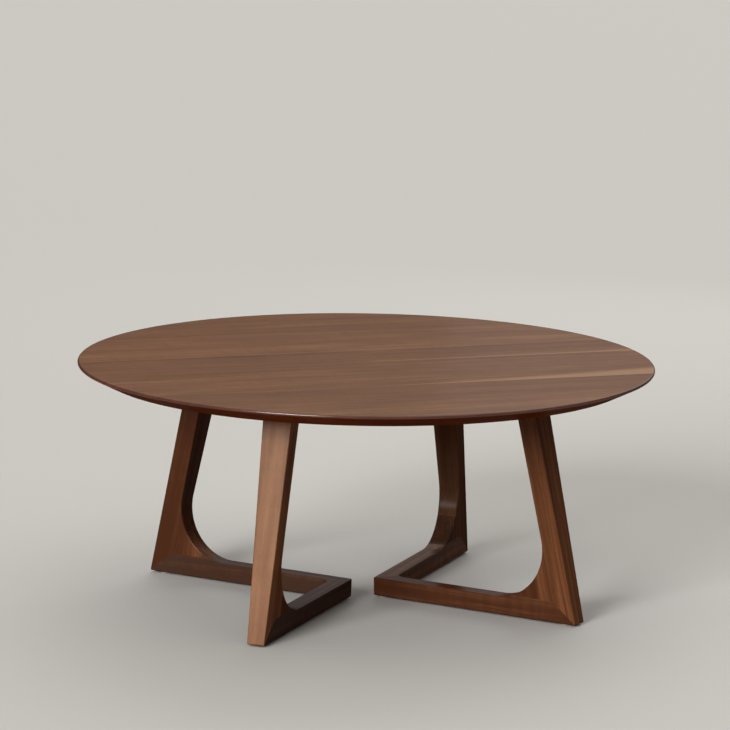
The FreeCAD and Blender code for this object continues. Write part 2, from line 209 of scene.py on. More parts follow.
def walnut_grain():
    """Solid walnut: growth rings round the heart of the tree, colour streaks, fibres and open pores.

    Place has X along the grain, and its origin on the line of the heart.
    """
    tree, given, result = new_group(
        "walnut_grain",
        {
            "Place": ("Vector", None),
            "Seed": ("Float", 0.0),
            "Ring Width": ("Float", 0.005),
            "Wander": ("Float", 0.02),
            "Pace": ("Float", 1.0),
            "Bands": ("Float", 0.5),
            "Ring Lines": ("Float", 0.3),
            "Streaks": ("Float", 0.6),
            "Clouds": ("Float", 0.4),
            "Curl": ("Float", 0.08),
            "Tone": ("Float", 0.5),
            "Heart": ("Float", 0.05),
            "Lighter Outward": ("Float", 0.0),
            "Sap Radius": ("Float", 10.0),
            "Sap Taper": ("Float", 0.0),
            "Stain": ("Float", 0.0),
            "Polish": ("Float", 0.0),
            "Film": ("Float", 0.035),
            "Dark": ("Color", (0.062, 0.019, 0.007, 1)),
            "Middle": ("Color", (0.150, 0.056, 0.022, 1)),
            "Light": ("Color", (0.290, 0.140, 0.066, 1)),
            "Sapwood": ("Color", (0.270, 0.145, 0.072, 1)),
        },
        {"Color": "Color", "Roughness": "Float", "Gloss": "Float", "Height": "Float"},
    )
    shift = vector_calc(tree, "SCALE", SEED_SHIFT, scale=given["Seed"])
    place = vector_calc(tree, "ADD", given["Place"], shift)

    # Distance from the heart, which wanders a little along the tree
    bend = stretched_noise(tree, place, along=1.4, across=5.0, detail=1.0, output="Color")
    bend = vector_calc(tree, "SUBTRACT", bend, (0.5, 0.5, 0.5))
    bend = vector_calc(tree, "SCALE", bend, scale=given["Wander"])
    bent = vector_calc(tree, "ADD", given["Place"], bend)
    radius = vector_calc(tree, "LENGTH", vector_calc(tree, "MULTIPLY", bent, (0.0, 1.0, 1.0)))

    # Growth rings of uneven width: each darkens slowly to its outside, and then the next one starts light
    age = calc(tree, "DIVIDE", radius, given["Ring Width"])
    first_ring = calc(tree, "MULTIPLY", given["Seed"], RING_SEED_STEP)
    uneven = line_noise(tree, age, waves=0.31, start=first_ring, detail=1.0)
    wobble = stretched_noise(tree, place, along=9.0, across=70.0, detail=2.0)
    ring = calc(tree, "MULTIPLY_ADD", uneven, RING_UNEVENNESS, age)
    ring = calc(tree, "MULTIPLY_ADD", wobble, RING_WOBBLE, ring)
    late_wood = calc(tree, "POWER", calc(tree, "FRACT", ring), LATE_WOOD_POWER)
    year = calc(tree, "ADD", calc(tree, "FLOOR", ring), given["Seed"])
    good_year = put(tree, "ShaderNodeTexWhiteNoise", {"W": year}, noise_dimensions="1D").outputs["Value"]
    ring_line = calc(tree, "MULTIPLY", late_wood, good_year)

    # Broad bands of colour that follow the rings, and clouds, streaks and fibres along the grain
    first_band = calc(tree, "MULTIPLY", given["Seed"], BAND_SEED_STEP)
    band = line_noise(tree, radius, waves=BANDS_PER_METRE, start=first_band, detail=2.0)
    paced = vector_calc(tree, "MULTIPLY", place, xyz(tree, x=given["Pace"], y=1.0, z=1.0))
    streak = stretched_noise(tree, paced, along=2.6, across=110.0, detail=4.0)
    cloud = stretched_noise(tree, paced, along=3.2, across=20.0, detail=2.0)
    curl = stretched_noise(tree, place, along=70.0, across=16.0, detail=1.0)
    fibre = stretched_noise(tree, place, along=22.0, across=1300.0, detail=2.0)

    # A tone of 0 is dark, a half is middling and 1 is light
    outward = calc(tree, "SUBTRACT", radius, given["Heart"])
    tone = calc(tree, "MULTIPLY_ADD", outward, given["Lighter Outward"], given["Tone"])
    patterns = (
        (band, given["Bands"]),
        (streak, given["Streaks"]),
        (cloud, given["Clouds"]),
        (curl, given["Curl"]),
        (fibre, FIBRE_SHARE),
    )
    for pattern, share in patterns:
        tone = vary(tree, tone, pattern, share)
    tone = calc(tree, "SUBTRACT", tone, calc(tree, "MULTIPLY", ring_line, given["Ring Lines"]))
    heartwood = blend(tree, calc(tree, "MULTIPLY", tone, 2.0), given["Dark"], given["Middle"])
    heartwood = blend(tree, calc(tree, "MULTIPLY_ADD", tone, 2.0, -1.0), heartwood, given["Light"])

    # Pale sapwood under the bark, which comes further in towards the thin end of the tree
    sap_depth = calc(tree, "SUBTRACT", radius, given["Sap Radius"])
    sap_depth = calc(tree, "MULTIPLY_ADD", axes(tree, given["Place"])["X"], given["Sap Taper"], sap_depth)
    sap_depth = vary(tree, sap_depth, streak, SAP_STREAK_DEPTH)
    pale = calc(tree, "MULTIPLY_ADD", streak, SAP_STREAK_CONTRAST, 0.5 - SAP_STREAK_CONTRAST / 2)
    sapwood = blend(tree, pale, given["Light"], given["Sapwood"])
    wood = blend(tree, step(tree, sap_depth, *SAP_EDGE), heartwood, sapwood)

    # Open pores: short dark dashes along the grain, and dots where it ends
    pore_place = vector_calc(tree, "MULTIPLY", place, PORES_PER_METRE)
    cell = put(tree, "ShaderNodeTexVoronoi", {"Vector": pore_place, "Scale": 1.0}).outputs["Distance"]
    pore = calc(tree, "SUBTRACT", 1.0, step(tree, cell, *PORE_EDGE))
    wood = blend(tree, calc(tree, "MULTIPLY", pore, PORE_DARKNESS), wood, given["Dark"])

    # Where a cut face has soaked up more oil, it is darker and redder
    oil = blend(tree, given["Stain"], (1, 1, 1, 1), CUT_FACE_OIL)
    oil = blend(tree, given["Polish"], oil, POLISHED_OIL)
    wood = vector_calc(tree, "MULTIPLY", wood, oil)
    roughness = vary(tree, WALNUT_ROUGHNESS, fibre, FIBRE_ROUGHNESS)
    roughness = calc(tree, "MULTIPLY_ADD", pore, PORE_ROUGHNESS, roughness)
    roughness = calc(tree, "MULTIPLY_ADD", given["Polish"], -POLISH_SMOOTHNESS, roughness)

    # The film of oil lies thin on a cut face and over the pores, and is polished where hands touch it
    film = given["Film"]
    for thin_place, loss in ((given["Stain"], CUT_FACE_FILM_LOSS), (pore, PORE_FILM_LOSS)):
        film = calc(tree, "MULTIPLY", film, calc(tree, "MULTIPLY_ADD", thin_place, -loss, 1.0))
    gloss = calc(tree, "MULTIPLY_ADD", given["Polish"], POLISH_GLOSS, film)
    height = calc(tree, "SUBTRACT", calc(tree, "MULTIPLY", fibre, FIBRE_HEIGHT), pore)
    put_out(tree, result, color=wood, roughness=roughness, gloss=gloss, height=height)
    return tree


WALNUT_GRAIN = walnut_grain()


def new_finish(name):
    """A material and its node tree, which is still empty."""
    material = bpy.data.materials.new(name)
    material.use_nodes = True
    material.node_tree.nodes.clear()
    return material, material.node_tree


def place_on_piece(tree):
    return put(tree, "ShaderNodeTexCoord").outputs["Object"]


def surface(tree, shading, height, strength, depth):
    """Ends a finish in its shader, with a fine relief that is so deep and shows so strongly."""
    bump = put(tree, "ShaderNodeBump", {"Height": height, "Strength": strength, "Distance": depth})
    shader = put(tree, "ShaderNodeBsdfPrincipled", {**shading, "Normal": bump.outputs["Normal"]})
    put(tree, "ShaderNodeOutputMaterial", {"Surface": shader.outputs["BSDF"]})


def walnut_finish(name, turn, origin, rim=None, **grain):
    """Oiled walnut. Turn brings the grain to X, and origin is where the heart of the tree then lies.

    A rim is a node group that tells where a turned edge is stained and polished.
    """
    material, tree = new_finish(name)
    where = place_on_piece(tree)
    place = put(
        tree, "ShaderNodeMapping",
        {"Vector": where, "Rotation": turn.to_euler(), "Location": -Vector(origin)},
    ).outputs["Vector"]
    values = by_socket(grain)
    if rim:
        edge = put(tree, "ShaderNodeGroup", {"Place": where}, node_tree=rim).outputs
        values["Stain"] = edge["Stain"]
        values["Polish"] = edge["Polish"]
    wood = put(tree, "ShaderNodeGroup", {"Place": place, **values}, node_tree=WALNUT_GRAIN).outputs
    shading = {
        "Base Color": wood["Color"],
        "Roughness": wood["Roughness"],
        "Specular IOR Level": 0.0,
        "Coat Weight": wood["Gloss"],
        "Coat Roughness": 0.22,
        "Coat IOR": 3.0,
    }
    surface(tree, shading, wood["Height"], strength=0.25, depth=0.0002)
    return material


def dress(node, material):
    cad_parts[node].material_slots[0].material = material


def along_rail(corner):
    """Turns the table so that the rail of a corner runs along X."""
    to_right, to_back = CORNERS[corner]
    heading = math.atan2(to_back * math.sin(V_HALF_ANGLE), to_right * math.cos(V_HALF_ANGLE))
    return Matrix.Rotation(-heading, 3, "Z")


for number, (corner, grain) in enumerate(RAIL_GRAIN_AND_PAINTED_SHADE.items()):
    dress(f"{corner}_rail", walnut_finish(
        f"{corner}_rail_walnut", along_rail(corner), RAIL_HEART,
        seed=RAIL_SEED + number, film=0.07,
        ring_width=0.005, wander=0.03, streaks=0.9, bands=0.7, curl=0.3, **grain,
    ))


# Mitre keys
# A loose tongue of beech in the mitre where the two rails of a base meet, glued in and hidden.
# Beech is pale and even, with short brown flecks along the grain.

BEECH_DULL = (0.44, 0.29, 0.17, 1)
BEECH_PALE = (0.60, 0.43, 0.27, 1)
BEECH_FLECK = (0.28, 0.15, 0.08, 1)


def beech_finish():
    material, tree = new_finish("plain_beech")
    where = place_on_piece(tree)
    cloud = stretched_noise(tree, where, along=30.0, across=90.0, detail=3.0)
    fleck = stretched_noise(tree, where, along=260.0, across=1400.0, detail=1.0)
    fleck = step(tree, fleck, start=0.62, end=0.7)
    wood = blend(tree, cloud, BEECH_DULL, BEECH_PALE)
    shading = {
        "Base Color": blend(tree, calc(tree, "MULTIPLY", fleck, 0.6), wood, BEECH_FLECK),
        "Roughness": calc(tree, "MULTIPLY_ADD", cloud, 0.2, 0.5),
        "Specular IOR Level": 0.3,
    }
    surface(tree, shading, cloud, strength=0.2, depth=0.0002)
    return material


BEECH = beech_finish()

for side in ("right", "left"):
    dress(f"{side}_mitre_key", BEECH)


# Legs
# Four slanting legs of solid walnut, thicker towards the top, with the grain running up them.
# Each is mitred and dowelled to the end of its rail, and cut to the inner curve with it.

LEG_LEAN = math.radians(12.9)
LEG_HEART = (0, 0.06, -0.48)
LEG_SEED = 7.7
# Tones partly painted light: the back-left leg is darkened, and the back-right leg darkened and greyed, as
# painted shade; the front-left leg is lightened as painted light where the lamp falls on its end
LEG_GRAIN_AND_PAINTED_LIGHT = {
    "right_front": {"tone": 0.44, "streaks": 1.1, "bands": 1.0, "clouds": 0.6},
    "right_back": {"tone": 0.38, "streaks": 0.7, "bands": 0.6, "film": 0.015, **SMOKY_PAINTED_SHADE},
    "left_back": {"tone": 0.08, "streaks": 0.5, "bands": 0.4, "ring_lines": 0.15},
    "left_front": {"tone": 0.76, "streaks": 0.4, "bands": 0.4, "ring_lines": 0.1, "clouds": 1.5},
}


def up_leaning(corner, lean):
    """Turns the table so that a line that leans back over the rail of a corner runs along X."""
    return Matrix.Rotation(math.pi / 2 + lean, 3, "Y") @ along_rail(corner)


for number, (corner, grain) in enumerate(LEG_GRAIN_AND_PAINTED_LIGHT.items()):
    dress(f"{corner}_leg", walnut_finish(
        f"{corner}_leg_walnut", up_leaning(corner, LEG_LEAN), LEG_HEART,
        seed=LEG_SEED + number, ring_width=0.0045, wander=0.025, **grain,
    ))


# Leg dowels
# Three beech dowels to a leg: two across the mitre at the foot, and one in the seat on the rail.
# They have bevelled ends and a little room for glue, and nothing of them shows.

for corner in CORNERS:
    dress(f"{corner}_leg_dowels", BEECH)


# Corner blocks
# A small block of walnut glued into the angle of leg and rail, and cut to the inner curve with them.
# Its grain runs on a slant of its own, and its colour differs a little from its neighbours'; the block at
# the right back is darker and greyer as painted shade.

BLOCK_LEAN = math.radians(8)
BLOCK_HEART = (0, 0.05, -0.3)
BLOCK_SEED = 13.1
# The right-back block takes the darker, greyer colours and a low tone: painted shade
BLOCK_GRAIN_AND_PAINTED_SHADE = {
    "right_front": {"tone": 0.14},
    "right_back": {"tone": 0.1, **SMOKY_PAINTED_SHADE},
    "left_back": {"tone": 0.3},
    "left_front": {"tone": 0.2},
}

for number, (corner, grain) in enumerate(BLOCK_GRAIN_AND_PAINTED_SHADE.items()):
    dress(f"{corner}_corner_block", walnut_finish(
        f"{corner}_block_walnut", up_leaning(corner, BLOCK_LEAN), BLOCK_HEART,
        seed=BLOCK_SEED + number, ring_width=0.004, wander=0.02, streaks=0.8, bands=0.6, **grain,
    ))


# Glides
# A disc of pressed wool felt under each foot and under the corner of each base, stuck to the wood.
# The load draws its rims in, and short fibres stand out round its edge.

FELT_DULL = (0.27, 0.215, 0.16, 1)
FELT_PALE = (0.55, 0.465, 0.37, 1)
FELT_SOILED = (0.33, 0.27, 0.21, 1)
FELT_SIDES = 48
FELT_ROWS = 8
FELT_DRAW_IN = 0.0009
FELT_RIM_POWER = 3.0
FELT_LUMP_SHARE = 0.3
FELT_SIDEWAYS_RISE = 0.6
FELT_FIBRE_LENGTH = 0.0011
FELT_FIBRE_WIDTH = 0.00005
FELT_FIBRE_SIDES = 3
FELT_FIBRE_SHORTEST = 0.4
FELT_FIBRE_TIP = 0.9
FELT_FIBRES_PER_SQUARE_METRE = 1.2e6


def felt_finish():
    material, tree = new_finish("pressed_felt")
    where = place_on_piece(tree)
    matted = noise(tree, where, scale=900.0, detail=4.0, distortion=1.5)
    patch = noise(tree, where, scale=140.0, detail=2.0)
    wool = blend(tree, matted, FELT_DULL, FELT_PALE)
    shading = {
        "Base Color": blend(tree, step(tree, patch, start=0.5, end=0.75), wool, FELT_SOILED),
        "Roughness": calc(tree, "MULTIPLY_ADD", patch, 0.1, 0.88),
        "Specular IOR Level": 0.15,
        "Sheen Weight": 0.3,
        "Sheen Roughness": 0.5,
    }
    surface(tree, shading, matted, strength=0.6, depth=0.0003)
    return material


def shape(tree, kind, inputs, **settings):
    """Adds one geometry node, and gives the shape that it puts out."""
    return put(tree, f"GeometryNode{kind}", inputs, **settings).outputs[0]


def cylinder(tree, sides, rows, radius, depth):
    """An upright cylinder about the origin. Besides its mesh, the outputs tell which faces are its side."""
    sizes = {"Vertices": sides, "Side Segments": rows, "Radius": radius, "Depth": depth}
    return put(tree, "GeometryNodeMeshCylinder", sizes, fill_type="NGON").outputs


def position(tree):
    return put(tree, "GeometryNodeInputPosition").outputs["Position"]


def drawn_in(tree, mesh, loss):
    """Moves an upright shape in towards its axis, by a share of its radius that changes over it."""
    share = calc(tree, "SUBTRACT", 1.0, loss)
    moved = vector_calc(tree, "MULTIPLY", position(tree), xyz(tree, x=share, y=share, z=1.0))
    return shape(tree, "SetPosition", {"Geometry": mesh, "Position": moved})


def rotation(tree, angles):
    return put(tree, "FunctionNodeEulerToRotation", {"Euler": angles}).outputs[0]


def random_turn(tree, tip, seed):
    """Any turn about Z, and a tip of up to so much about X and about Y."""
    limits = {0: (-tip, -tip, -math.pi), 1: (tip, tip, math.pi)}
    turn = put(tree, "FunctionNodeRandomValue", {**limits, "Seed": seed}, data_type="FLOAT_VECTOR")
    return rotation(tree, turn.outputs[0])


def felt_pad():
    """A disc whose rims are drawn in, and fibres that stand out from its edge at odd angles."""
    tree, given, result = new_group(
        "felt_pad",
        {
            "Centre": ("Vector", (0, 0, 0)),
            "Radius": ("Float", 0.01),
            "Height": ("Float", 0.003),
            "Draw In": ("Float", 0.001),
            "Fibre Length": ("Float", 0.001),
            "Fibre Width": ("Float", 0.0001),
            "Fibre Density": ("Float", 1000.0),
            "Seed": ("Int", 0),
            "Felt": ("Material", None),
        },
        {"Pad": "Geometry"},
        "GeometryNodeTree",
    )
    disc = cylinder(tree, FELT_SIDES, FELT_ROWS, given["Radius"], given["Height"])["Mesh"]
    place = position(tree)
    level = calc(tree, "ABSOLUTE", axes(tree, place)["Z"])
    level = calc(tree, "DIVIDE", level, calc(tree, "MULTIPLY", given["Height"], 0.5))
    lump = calc(tree, "MULTIPLY", noise(tree, place, scale=420.0, detail=1.0), FELT_LUMP_SHARE)
    at_rim = calc(tree, "POWER", level, FELT_RIM_POWER)
    loss = calc(tree, "MULTIPLY_ADD", at_rim, 1 - FELT_LUMP_SHARE, lump)
    loss = calc(tree, "MULTIPLY", loss, given["Draw In"])
    disc = drawn_in(tree, disc, calc(tree, "DIVIDE", loss, given["Radius"]))

    # Fibres, on the faces that look sideways
    facing = put(tree, "GeometryNodeInputNormal").outputs["Normal"]
    rise = calc(tree, "ABSOLUTE", axes(tree, facing)["Z"])
    roots = put(
        tree, "GeometryNodeDistributePointsOnFaces",
        {
            "Mesh": disc,
            "Selection": calc(tree, "LESS_THAN", rise, FELT_SIDEWAYS_RISE),
            "Density": given["Fibre Density"],
            "Seed": given["Seed"],
        },
    ).outputs
    fibre = shape(
        tree, "MeshCone",
        {
            "Vertices": FELT_FIBRE_SIDES,
            "Radius Top": 0.0,
            "Radius Bottom": given["Fibre Width"],
            "Depth": given["Fibre Length"],
        },
    )
    length = put(
        tree, "FunctionNodeRandomValue", {2: FELT_FIBRE_SHORTEST, 3: 1.0, "Seed": given["Seed"]}
    ).outputs[1]
    fibres = shape(
        tree, "InstanceOnPoints",
        {"Points": roots["Points"], "Instance": fibre, "Rotation": roots["Rotation"], "Scale": length},
    )
    lean = random_turn(tree, FELT_FIBRE_TIP, given["Seed"])
    fibres = shape(tree, "RotateInstances", {"Instances": fibres, "Rotation": lean})
    pad = shape(tree, "JoinGeometry", {"Geometry": [disc, fibres]})
    pad = shape(tree, "Transform", {"Geometry": pad, "Translation": given["Centre"]})
    pad = shape(tree, "RealizeInstances", {"Geometry": pad})

    # No fibre reaches below the floor
    spot = axes(tree, place)
    floor_level = calc(tree, "MULTIPLY_ADD", given["Height"], -0.5, axes(tree, given["Centre"])["Z"])
    kept = xyz(tree, x=spot["X"], y=spot["Y"], z=calc(tree, "MAXIMUM", spot["Z"], floor_level))
    pad = shape(tree, "SetPosition", {"Geometry": pad, "Position": kept})
    pad = shape(tree, "SetMaterial", {"Geometry": pad, "Material": given["Felt"]})
    put_out(tree, result, pad=pad)
    return tree


def add(name, data):
    """A new object in the scene."""
    thing = bpy.data.objects.new(name, data)
    bpy.context.scene.collection.objects.link(thing)
    return thing


def bake(name, tree, places=(), **inputs):
    """Runs a geometry node tree once, with its inputs by name, and keeps the plain mesh that it makes."""
    start = bpy.data.meshes.new(f"{name}_start")
    start.from_pydata(list(places), [], [])
    piece = add(name, start)
    modifier = piece.modifiers.new(name, "NODES")
    modifier.node_group = tree
    sockets = {item.name: item.identifier for item in tree.interface.items_tree if item.in_out == "INPUT"}
    for socket_name, value in by_socket(inputs).items():
        modifier[sockets[socket_name]] = value
    seen = piece.evaluated_get(bpy.context.evaluated_depsgraph_get())
    mesh = bpy.data.meshes.new_from_object(seen)
    piece.modifiers.remove(modifier)
    piece.data = mesh
    mesh.name = name
    bpy.data.meshes.remove(start)
    return piece


FELT = felt_finish()
FELT_PAD = felt_pad()
GLIDES = [f"{corner}_foot_glide" for corner in CORNERS] + ["right_corner_glide", "left_corner_glide"]

for number, node in enumerate(GLIDES):
    low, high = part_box(node)
    pad = bake(
        f"{node}_felt", FELT_PAD,
        centre=(low + high) / 2,
        radius=(high.x - low.x) / 2,
        height=high.z - low.z,
        draw_in=FELT_DRAW_IN,
        fibre_length=FELT_FIBRE_LENGTH,
        fibre_width=FELT_FIBRE_WIDTH,
        fibre_density=FELT_FIBRES_PER_SQUARE_METRE,
        seed=number,
        felt=FELT,
    )
    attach(pad, "root")
    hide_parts(node)


# Fixing plates
# A flat steel plate on the end of each leg, with round corners, let into the underside of the top.
# Its black powder coat has the fine skin of an orange, and a few grey rubs from handling.

COAT_BLACK = (0.022, 0.022, 0.024, 1)
COAT_RAISED = (0.036, 0.036, 0.038, 1)
COAT_RUBBED = (0.085, 0.084, 0.082, 1)


def powder_coat():
    material, tree = new_finish("black_powder_coat")
    where = place_on_piece(tree)
    peel = noise(tree, where, scale=1100.0, detail=1.0)
    rub = stretched_noise(tree, where, along=90.0, across=420.0, detail=4.0)
    rub = step(tree, rub, start=0.58, end=0.75)
    coat = blend(tree, peel, COAT_BLACK, COAT_RAISED)
    shading = {
        "Base Color": blend(tree, calc(tree, "MULTIPLY", rub, 0.5), coat, COAT_RUBBED),
        "Roughness": calc(tree, "MULTIPLY_ADD", rub, 0.2, 0.48),
        "Specular IOR Level": 0.45,
    }
    surface(tree, shading, peel, strength=0.35, depth=0.0002)
    return material


BLACK_COAT = powder_coat()

for corner in CORNERS:
    dress(f"{corner}_fixing_plate", BLACK_COAT)


# Plate screws
# Two countersunk wood screws of zinc-plated steel to a plate, driven down into the end of the leg.
# The plating is bright, clouded in places and scored by the driver.


def metal_surface():
    """Bare or plated metal: clouds of tarnish, and fine scores along X."""
    tree, given, result = new_group(
        "metal_surface",
        {
            "Place": ("Vector", None),
            "Bright": ("Color", (0.6, 0.6, 0.6, 1)),
            "Dull": ("Color", (0.4, 0.4, 0.4, 1)),
            "Gloss": ("Float", 0.7),
        },
        {"Color": "Color", "Roughness": "Float", "Height": "Float"},
    )
    cloud = noise(tree, given["Place"], scale=330.0, detail=3.0)
    score = stretched_noise(tree, given["Place"], along=220.0, across=3600.0, detail=2.0)
    metal = blend(tree, step(tree, cloud, start=0.35, end=0.7), given["Bright"], given["Dull"])
    roughness = calc(tree, "SUBTRACT", 1.0, given["Gloss"])
    roughness = vary(tree, roughness, cloud, share=0.3)
    roughness = vary(tree, roughness, score, share=0.2)
    put_out(tree, result, color=metal, roughness=roughness, height=score)
    return tree


METAL_SURFACE = metal_surface()


def metal_finish(name, **look):
    material, tree = new_finish(name)
    inputs = {"Place": place_on_piece(tree), **by_socket(look)}
    metal = put(tree, "ShaderNodeGroup", inputs, node_tree=METAL_SURFACE).outputs
    shading = {"Base Color": metal["Color"], "Metallic": 1.0, "Roughness": metal["Roughness"]}
    surface(tree, shading, metal["Height"], strength=0.2, depth=0.0001)
    return material


ZINC = metal_finish("bright_zinc", bright=(0.60, 0.60, 0.59, 1), dull=(0.43, 0.44, 0.45, 1), gloss=0.66)
dress("plate_screws", ZINC)


# Top boards
# Ten walnut boards glued edge to edge with the grain along X, and turned to a round with a bevelled rim.
# Each lies with the outside of its tree to the front, so it is lighter there, and sapwood shows on some.

BOARD_WIDTH = 0.11
BOARD_SEED = 21.9
BOARD_MIDDLE = (0.150, 0.060, 0.022, 1)
BOARD_LIGHT = (0.290, 0.150, 0.066, 1)
HEART_BEHIND = 0.06
HEART_BELOW = 0.05
NO_SAP_WITHIN = 1.0
BOARD_GRAIN = {
    "top_back_board_5": {"tone": 0.50, "drift": 1.0},
    "top_back_board_4": {"tone": 0.46, "drift": -1.0},
    "top_back_board_3": {"tone": 0.50, "drift": 1.5},
    "top_back_board_2": {"tone": 0.55, "drift": -0.5},
    "top_back_board_1": {"tone": 0.46, "drift": -1.0, "sap": -0.005, "taper": 0.012},
    "top_front_board_1": {"tone": 0.50, "drift": 0.8},
    "top_front_board_2": {"tone": 0.54, "drift": -1.0, "sap": 0.0, "taper": 0.1},
    "top_front_board_3": {"tone": 0.45, "drift": 1.2},
    "top_front_board_4": {"tone": 0.54, "drift": -1.0},
    "top_front_board_5": {"tone": 0.53, "drift": 0.6},
}

RIM_NOSE_RADIUS = 0.003
RIM_BEVEL_ANGLE = math.radians(64)
RIM_STAIN_FADE = 0.0003
RIM_SIDES = 360
RIM_ROWS = 25
SHARP_EDGE_ANGLE = math.radians(15)
RECESS_SIZE = (0.035, 0.1045, 0.004)
RECESS_CORNER = 0.0055
INSERT_SPACING = (0.018, 0.0795, 0)
INSERT_HOLE_RADIUS = 0.0051
INSERT_HOLE_DEPTH = 0.0155
ROD_SIDES = 32


def turned_board():
    """A strip of a turned disc, with recesses for the plates in its underside and holes for the inserts.

    Plates are the middles of the plates on the underside. Each plate lies along its rail.
    """
    tree, given, result = new_group(
        "turned_board",
        {
            "Plates": ("Geometry", None),
            "Radius": ("Float", 0.5),
            "Low": ("Float", 0.0),
            "High": ("Float", 0.02),
            "Nose Radius": ("Float", 0.003),
            "Bevel Angle": ("Float", 1.0),
            "Front Edge": ("Float", 0.0),
            "Back Edge": ("Float", 0.1),
            "Recess Size": ("Vector", (0.03, 0.1, 0.004)),
            "Recess Corner": ("Float", 0.005),
            "Recess Turn": ("Float", 0.8),
            "Hole Spacing": ("Vector", (0.02, 0.08, 0)),
            "Hole Radius": ("Float", 0.005),
            "Hole Depth": ("Float", 0.015),
            "Wood": ("Material", None),
        },
        {"Board": "Geometry"},
        "GeometryNodeTree",
    )
    place = position(tree)
    spot = axes(tree, place)

    # A drum of rings, moved on to the profile: from the lowest ring the bevel, and from the next the nose
    drum = cylinder(tree, RIM_SIDES, RIM_ROWS, radius=1.0, depth=RIM_ROWS)
    ring = calc(tree, "ADD", spot["Z"], RIM_ROWS / 2)
    bevel_tilt = calc(tree, "MULTIPLY", given["Bevel Angle"], -1.0)
    angle = put(
        tree, "ShaderNodeMapRange",
        {"Value": ring, "From Min": 1.0, "From Max": RIM_ROWS, "To Min": bevel_tilt, "To Max": math.pi / 2},
    ).outputs["Result"]
    nose_outward = calc(tree, "SUBTRACT", given["Radius"], given["Nose Radius"])
    nose_height = calc(tree, "SUBTRACT", given["High"], given["Nose Radius"])
    outward = calc(tree, "MULTIPLY_ADD", calc(tree, "COSINE", angle), given["Nose Radius"], nose_outward)
    height = calc(tree, "MULTIPLY_ADD", calc(tree, "SINE", angle), given["Nose Radius"], nose_height)
    is_lowest = calc(tree, "LESS_THAN", ring, 0.5)
    drop = calc(tree, "MULTIPLY", is_lowest, calc(tree, "SUBTRACT", height, given["Low"]))
    inset = calc(tree, "MULTIPLY", drop, calc(tree, "TANGENT", given["Bevel Angle"]))
    outward = calc(tree, "SUBTRACT", outward, inset)
    on_profile = xyz(
        tree,
        x=calc(tree, "MULTIPLY", spot["X"], outward),
        y=calc(tree, "MULTIPLY", spot["Y"], outward),
        z=calc(tree, "SUBTRACT", height, drop),
    )
    disc = shape(tree, "SetPosition", {"Geometry": drum["Mesh"], "Position": on_profile})

    # The strip of it that is this board, cut with a box that is longer than the disc is wide
    width = calc(tree, "SUBTRACT", given["Back Edge"], given["Front Edge"])
    strip_size = xyz(tree, x=calc(tree, "MULTIPLY", given["Radius"], 3.0), y=width, z=given["Radius"])
    strip_middle = xyz(tree, y=calc(tree, "MULTIPLY_ADD", width, 0.5, given["Front Edge"]), z=given["High"])
    strip = shape(tree, "MeshCube", {"Size": strip_size})
    strip = shape(tree, "Transform", {"Geometry": strip, "Translation": strip_middle})
    board = shape(tree, "MeshBoolean", {"Mesh 2": [disc, strip]}, operation="INTERSECT")

    def four_rods(length, width, radius, reach):
        """Upright rods on the corners of a rectangle, which reach as far up as down."""
        rectangle = {"Size X": length, "Size Y": width, "Vertices X": 2, "Vertices Y": 2}
        corners = shape(tree, "MeshGrid", rectangle)
        rod = cylinder(tree, ROD_SIDES, 1, radius, calc(tree, "MULTIPLY", reach, 2.0))["Mesh"]
        rods = shape(tree, "InstanceOnPoints", {"Points": corners, "Instance": rod})
        return shape(tree, "RealizeInstances", {"Geometry": rods})

    # A recess is the hull of rods in its round corners, and the insert holes go on up from its ceiling
    size = axes(tree, given["Recess Size"])
    spacing = axes(tree, given["Hole Spacing"])
    recess = four_rods(
        calc(tree, "MULTIPLY_ADD", given["Recess Corner"], -2.0, size["X"]),
        calc(tree, "MULTIPLY_ADD", given["Recess Corner"], -2.0, size["Y"]),
        given["Recess Corner"],
        size["Z"],
    )
    recess = shape(tree, "ConvexHull", {"Geometry": recess})
    hole_reach = calc(tree, "ADD", size["Z"], given["Hole Depth"])
    holes = four_rods(spacing["X"], spacing["Y"], given["Hole Radius"], hole_reach)
    side = calc(tree, "SIGN", calc(tree, "MULTIPLY", spot["X"], spot["Y"]))
    turn = rotation(tree, xyz(tree, z=calc(tree, "MULTIPLY", side, given["Recess Turn"])))
    for tool in (recess, holes):
        placed = {"Points": given["Plates"], "Instance": tool, "Rotation": turn}
        tools = shape(tree, "RealizeInstances", {"Geometry": shape(tree, "InstanceOnPoints", placed)})
        board = shape(tree, "MeshBoolean", {"Mesh 1": board, "Mesh 2": tools}, operation="DIFFERENCE")

